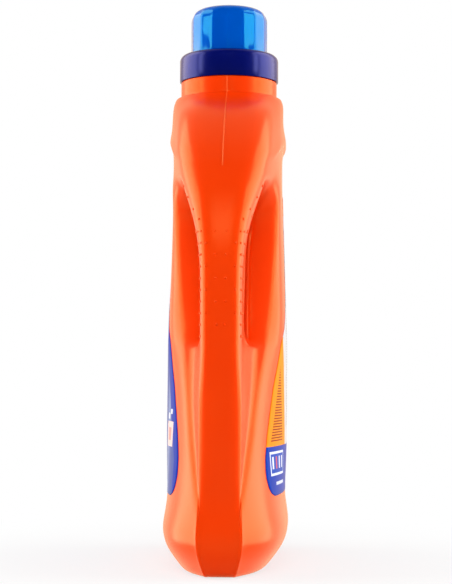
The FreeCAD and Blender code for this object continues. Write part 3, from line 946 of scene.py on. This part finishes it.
def backFilm():
    # yellow-orange field with fine rules and a pale panel, its whitish tone partly painted sheen, over a blue
    # field with a framed row of bars
    b = backPrint
    material, nodes, links, shader = newMaterial("back_film_print")
    split = separated(nodes, links)
    turns = mathNode(nodes, links, "MULTIPLY", split["Z"], 2 * math.pi / b["rulePitch"])
    rules = mathNode(nodes, links, "GREATER_THAN", mathNode(nodes, links, "SINE", turns), b["ruleLevel"])
    inside = mathNode(nodes, links, "MULTIPLY", besideEdge(nodes, links, split, b["ruleGap"]),
                      inBox(nodes, links, split, *b["ruleBox"]))
    ruled = mathNode(nodes, links, "MULTIPLY", rules, inside)
    colour = mixColour(nodes, links, ruled, b["field"], b["rule"])
    colour = withBoxes(nodes, links, split, colour, b["panel"])
    ruled = mathNode(nodes, links, "MULTIPLY", rules, inBox(nodes, links, split, *b["panelRuleBox"]))
    colour = mixColour(nodes, links, ruled, colour, b["panelRule"])
    links.new(withBoxes(nodes, links, split, colour, b["boxes"]), shader.inputs["Base Color"])
    setSockets(shader, filmLook["sockets"])
    return material


print("materials")
orange, seamHighlight, navy, clearBlue = [mouldedPlastic(look)
                                       for look in (orangeLook, seamHighlightLook, navyLook, clearBlueLook)]
for material, pieces in ((orange, (bottleShell, bottleFeet, gripDots)), (seamHighlight, (partingLine,)),
                         (navy, (collarRing, pourSpout, collarThread)), (clearBlue, (dosingCup, cupThread)),
                         (frontFilm(), (frontLabel,)), (backFilm(), (backLabel,))):
    for piece in pieces:
        piece.data.materials.append(material)


lamps = {
    "glossPlace": (-0.25, 0.72, 0.5),
    "glossSize": (0.80, 1.4),
    "glossPower": 8.6,
    "glossColour": (1.0, 0.84, 0.60),
    "stripPlace": (0.30, 0.72, 0.42),
    "stripSize": (0.13, 0.8),
    "stripPower": 1.1,
    "sidePlace": (0.0, 0.95, 0.35),
    "sideTarget": (0.0, 0.0, 0.15),
    "sideSize": (0.9, 0.9),
    "sidePower": 11.0,
    "frontPlace": (1.3, 0.0, 0.95),
    "frontTarget": (0.0, 0.0, 0.14),
    "frontSize": (0.6, 0.6),
    "frontPower": 9.4,
}


def areaLamp(name, place, target, size, power, diffuse=True, glossy=True, colour=(1.0, 1.0, 1.0)):
    lamp = bpy.data.lights.new(name, "AREA")
    lamp.shape = "RECTANGLE"
    lamp.size, lamp.size_y = size
    lamp.energy = power
    lamp.color = colour
    holder = bpy.data.objects.new(name, lamp)
    bpy.context.scene.collection.objects.link(holder)
    holder.location = place
    holder.rotation_euler = (Vector(target) - Vector(place)).to_track_quat("-Z", "Y").to_euler()
    holder.visible_diffuse = diffuse
    holder.visible_glossy = glossy


def makeLamps():
    # on each side a warm panel and a strip that only show in the gloss and a panel that only lights, one in front
    s = lamps
    for name, side in (("left", -1), ("right", 1)):
        x, y, z = s["glossPlace"]
        areaLamp("gloss_" + name, (x, side * y, z), (x, 0, z), s["glossSize"], s["glossPower"],
                 diffuse=False, colour=s["glossColour"])
        x, y, z = s["stripPlace"]
        areaLamp("strip_" + name, (x, side * y, z), (0, 0, z), s["stripSize"], s["stripPower"],
                 diffuse=False, colour=s["glossColour"])
        x, y, z = s["sidePlace"]
        areaLamp("side_" + name, (x, side * y, z), s["sideTarget"], s["sideSize"], s["sidePower"], glossy=False)
    areaLamp("front", s["frontPlace"], s["frontTarget"], s["frontSize"], s["frontPower"], glossy=False)


floorLook = {
    "half": 6,
    "sockets": {"Base Color": (0.80, 0.80, 0.80, 1), "Roughness": 0.9, "Specular IOR Level": 0.0},
    "fade": {"From Min": 0.03, "From Max": 0.26, "To Min": 0.72, "To Max": 1.0},
}


def makeFloor():
    bm = bmesh.new()
    bmesh.ops.create_grid(bm, x_segments=1, y_segments=1, size=floorLook["half"])
    mesh = bpy.data.meshes.new("floor")
    bm.to_mesh(mesh)
    bm.free()
    floor = bpy.data.objects.new("floor", mesh)
    bpy.context.scene.collection.objects.link(floor)
    floor.visible_glossy = False
    material, nodes, links, shader = newMaterial("floor_paint")
    setSockets(shader, floorLook["sockets"])
    # away from the bottle the floor turns into plain white, so that it runs into the backdrop with no line
    path = nodes.new("ShaderNodeLightPath")
    reach = nodes.new("ShaderNodeVectorMath")
    reach.operation = "LENGTH"
    links.new(coordinate(nodes), reach.inputs[0])
    fade = rangeNode(nodes, links, reach.outputs["Value"], floorLook["fade"])
    fade.interpolation_type = "SMOOTHSTEP"
    mix = nodes.new("ShaderNodeMixShader")
    share = mathNode(nodes, links, "MULTIPLY", path.outputs["Is Camera Ray"], fade.outputs["Result"])
    links.new(share, mix.inputs["Fac"])
    links.new(shader.outputs["BSDF"], mix.inputs[1])
    links.new(nodes.new("ShaderNodeEmission").outputs["Emission"], mix.inputs[2])
    links.new(mix.outputs["Shader"], nodes["Material Output"].inputs["Surface"])
    floor.data.materials.append(material)


backdrop = {
    "diffuseStrength": 0.36,
    "glossStrength": {"From Min": 0.35, "From Max": -1.0, "To Min": 0.0, "To Max": 1.25},
    "glossColour": (1.0, 0.78, 0.50),
    "plainColour": (1.0, 1.0, 1.0),
}


def makeWorld():
    # white to the camera and through the cup, dimmer to diffuse rays, warm and brighter behind to glossy ones
    world = bpy.data.worlds.new("studio")
    bpy.context.scene.world = world
    world.use_nodes = True
    nodes, links = world.node_tree.nodes, world.node_tree.links
    background = nodes["Background"]
    rays = nodes.new("ShaderNodeLightPath").outputs
    seen = mathNode(nodes, links, "MAXIMUM", rays["Is Camera Ray"], rays["Is Transmission Ray"])
    behind = rangeNode(nodes, links, separated(nodes, links, "Generated")["X"], backdrop["glossStrength"])
    glossy = mathNode(nodes, links, "MULTIPLY", rays["Is Glossy Ray"], behind.outputs["Result"])
    plain = mathNode(nodes, links, "MULTIPLY", rays["Is Diffuse Ray"], backdrop["diffuseStrength"])
    total = mathNode(nodes, links, "ADD", seen, mathNode(nodes, links, "ADD", glossy, plain))
    links.new(total, background.inputs["Strength"])
    shade = mixColour(nodes, links, rays["Is Glossy Ray"], backdrop["plainColour"], backdrop["glossColour"])
    links.new(shade, background.inputs["Color"])


camera = {
    "place": (0.847, 0.0345, 0.096),
    "heading": -177.627,
    "pitch": 2.91,
    "roll": 0.27,
    "sensor": 36.0,
    "focalPixels": 1634,
    "picturePixels": 584,
    "clipStart": 0.01,
}


def makeCamera():
    data = bpy.data.cameras.new("camera")
    data.sensor_fit = "AUTO"
    data.sensor_width = camera["sensor"]
    data.lens = camera["sensor"] * camera["focalPixels"] / camera["picturePixels"]
    data.clip_start = camera["clipStart"]
    holder = bpy.data.objects.new("camera", data)
    bpy.context.scene.collection.objects.link(holder)
    heading, pitch = math.radians(camera["heading"]), math.radians(camera["pitch"])
    forward = Vector((math.cos(heading) * math.cos(pitch), math.sin(heading) * math.cos(pitch), math.sin(pitch)))
    turn = forward.to_track_quat("-Z", "Y").to_matrix().to_4x4()
    roll = Matrix.Rotation(math.radians(camera["roll"]), 4, "Z")
    holder.matrix_world = Matrix.Translation(camera["place"]) @ turn @ roll
    bpy.context.scene.camera = holder


print("studio and camera")
makeLamps()
makeFloor()
makeWorld()
makeCamera()
bpy.context.scene.view_settings.view_transform = "Standard"
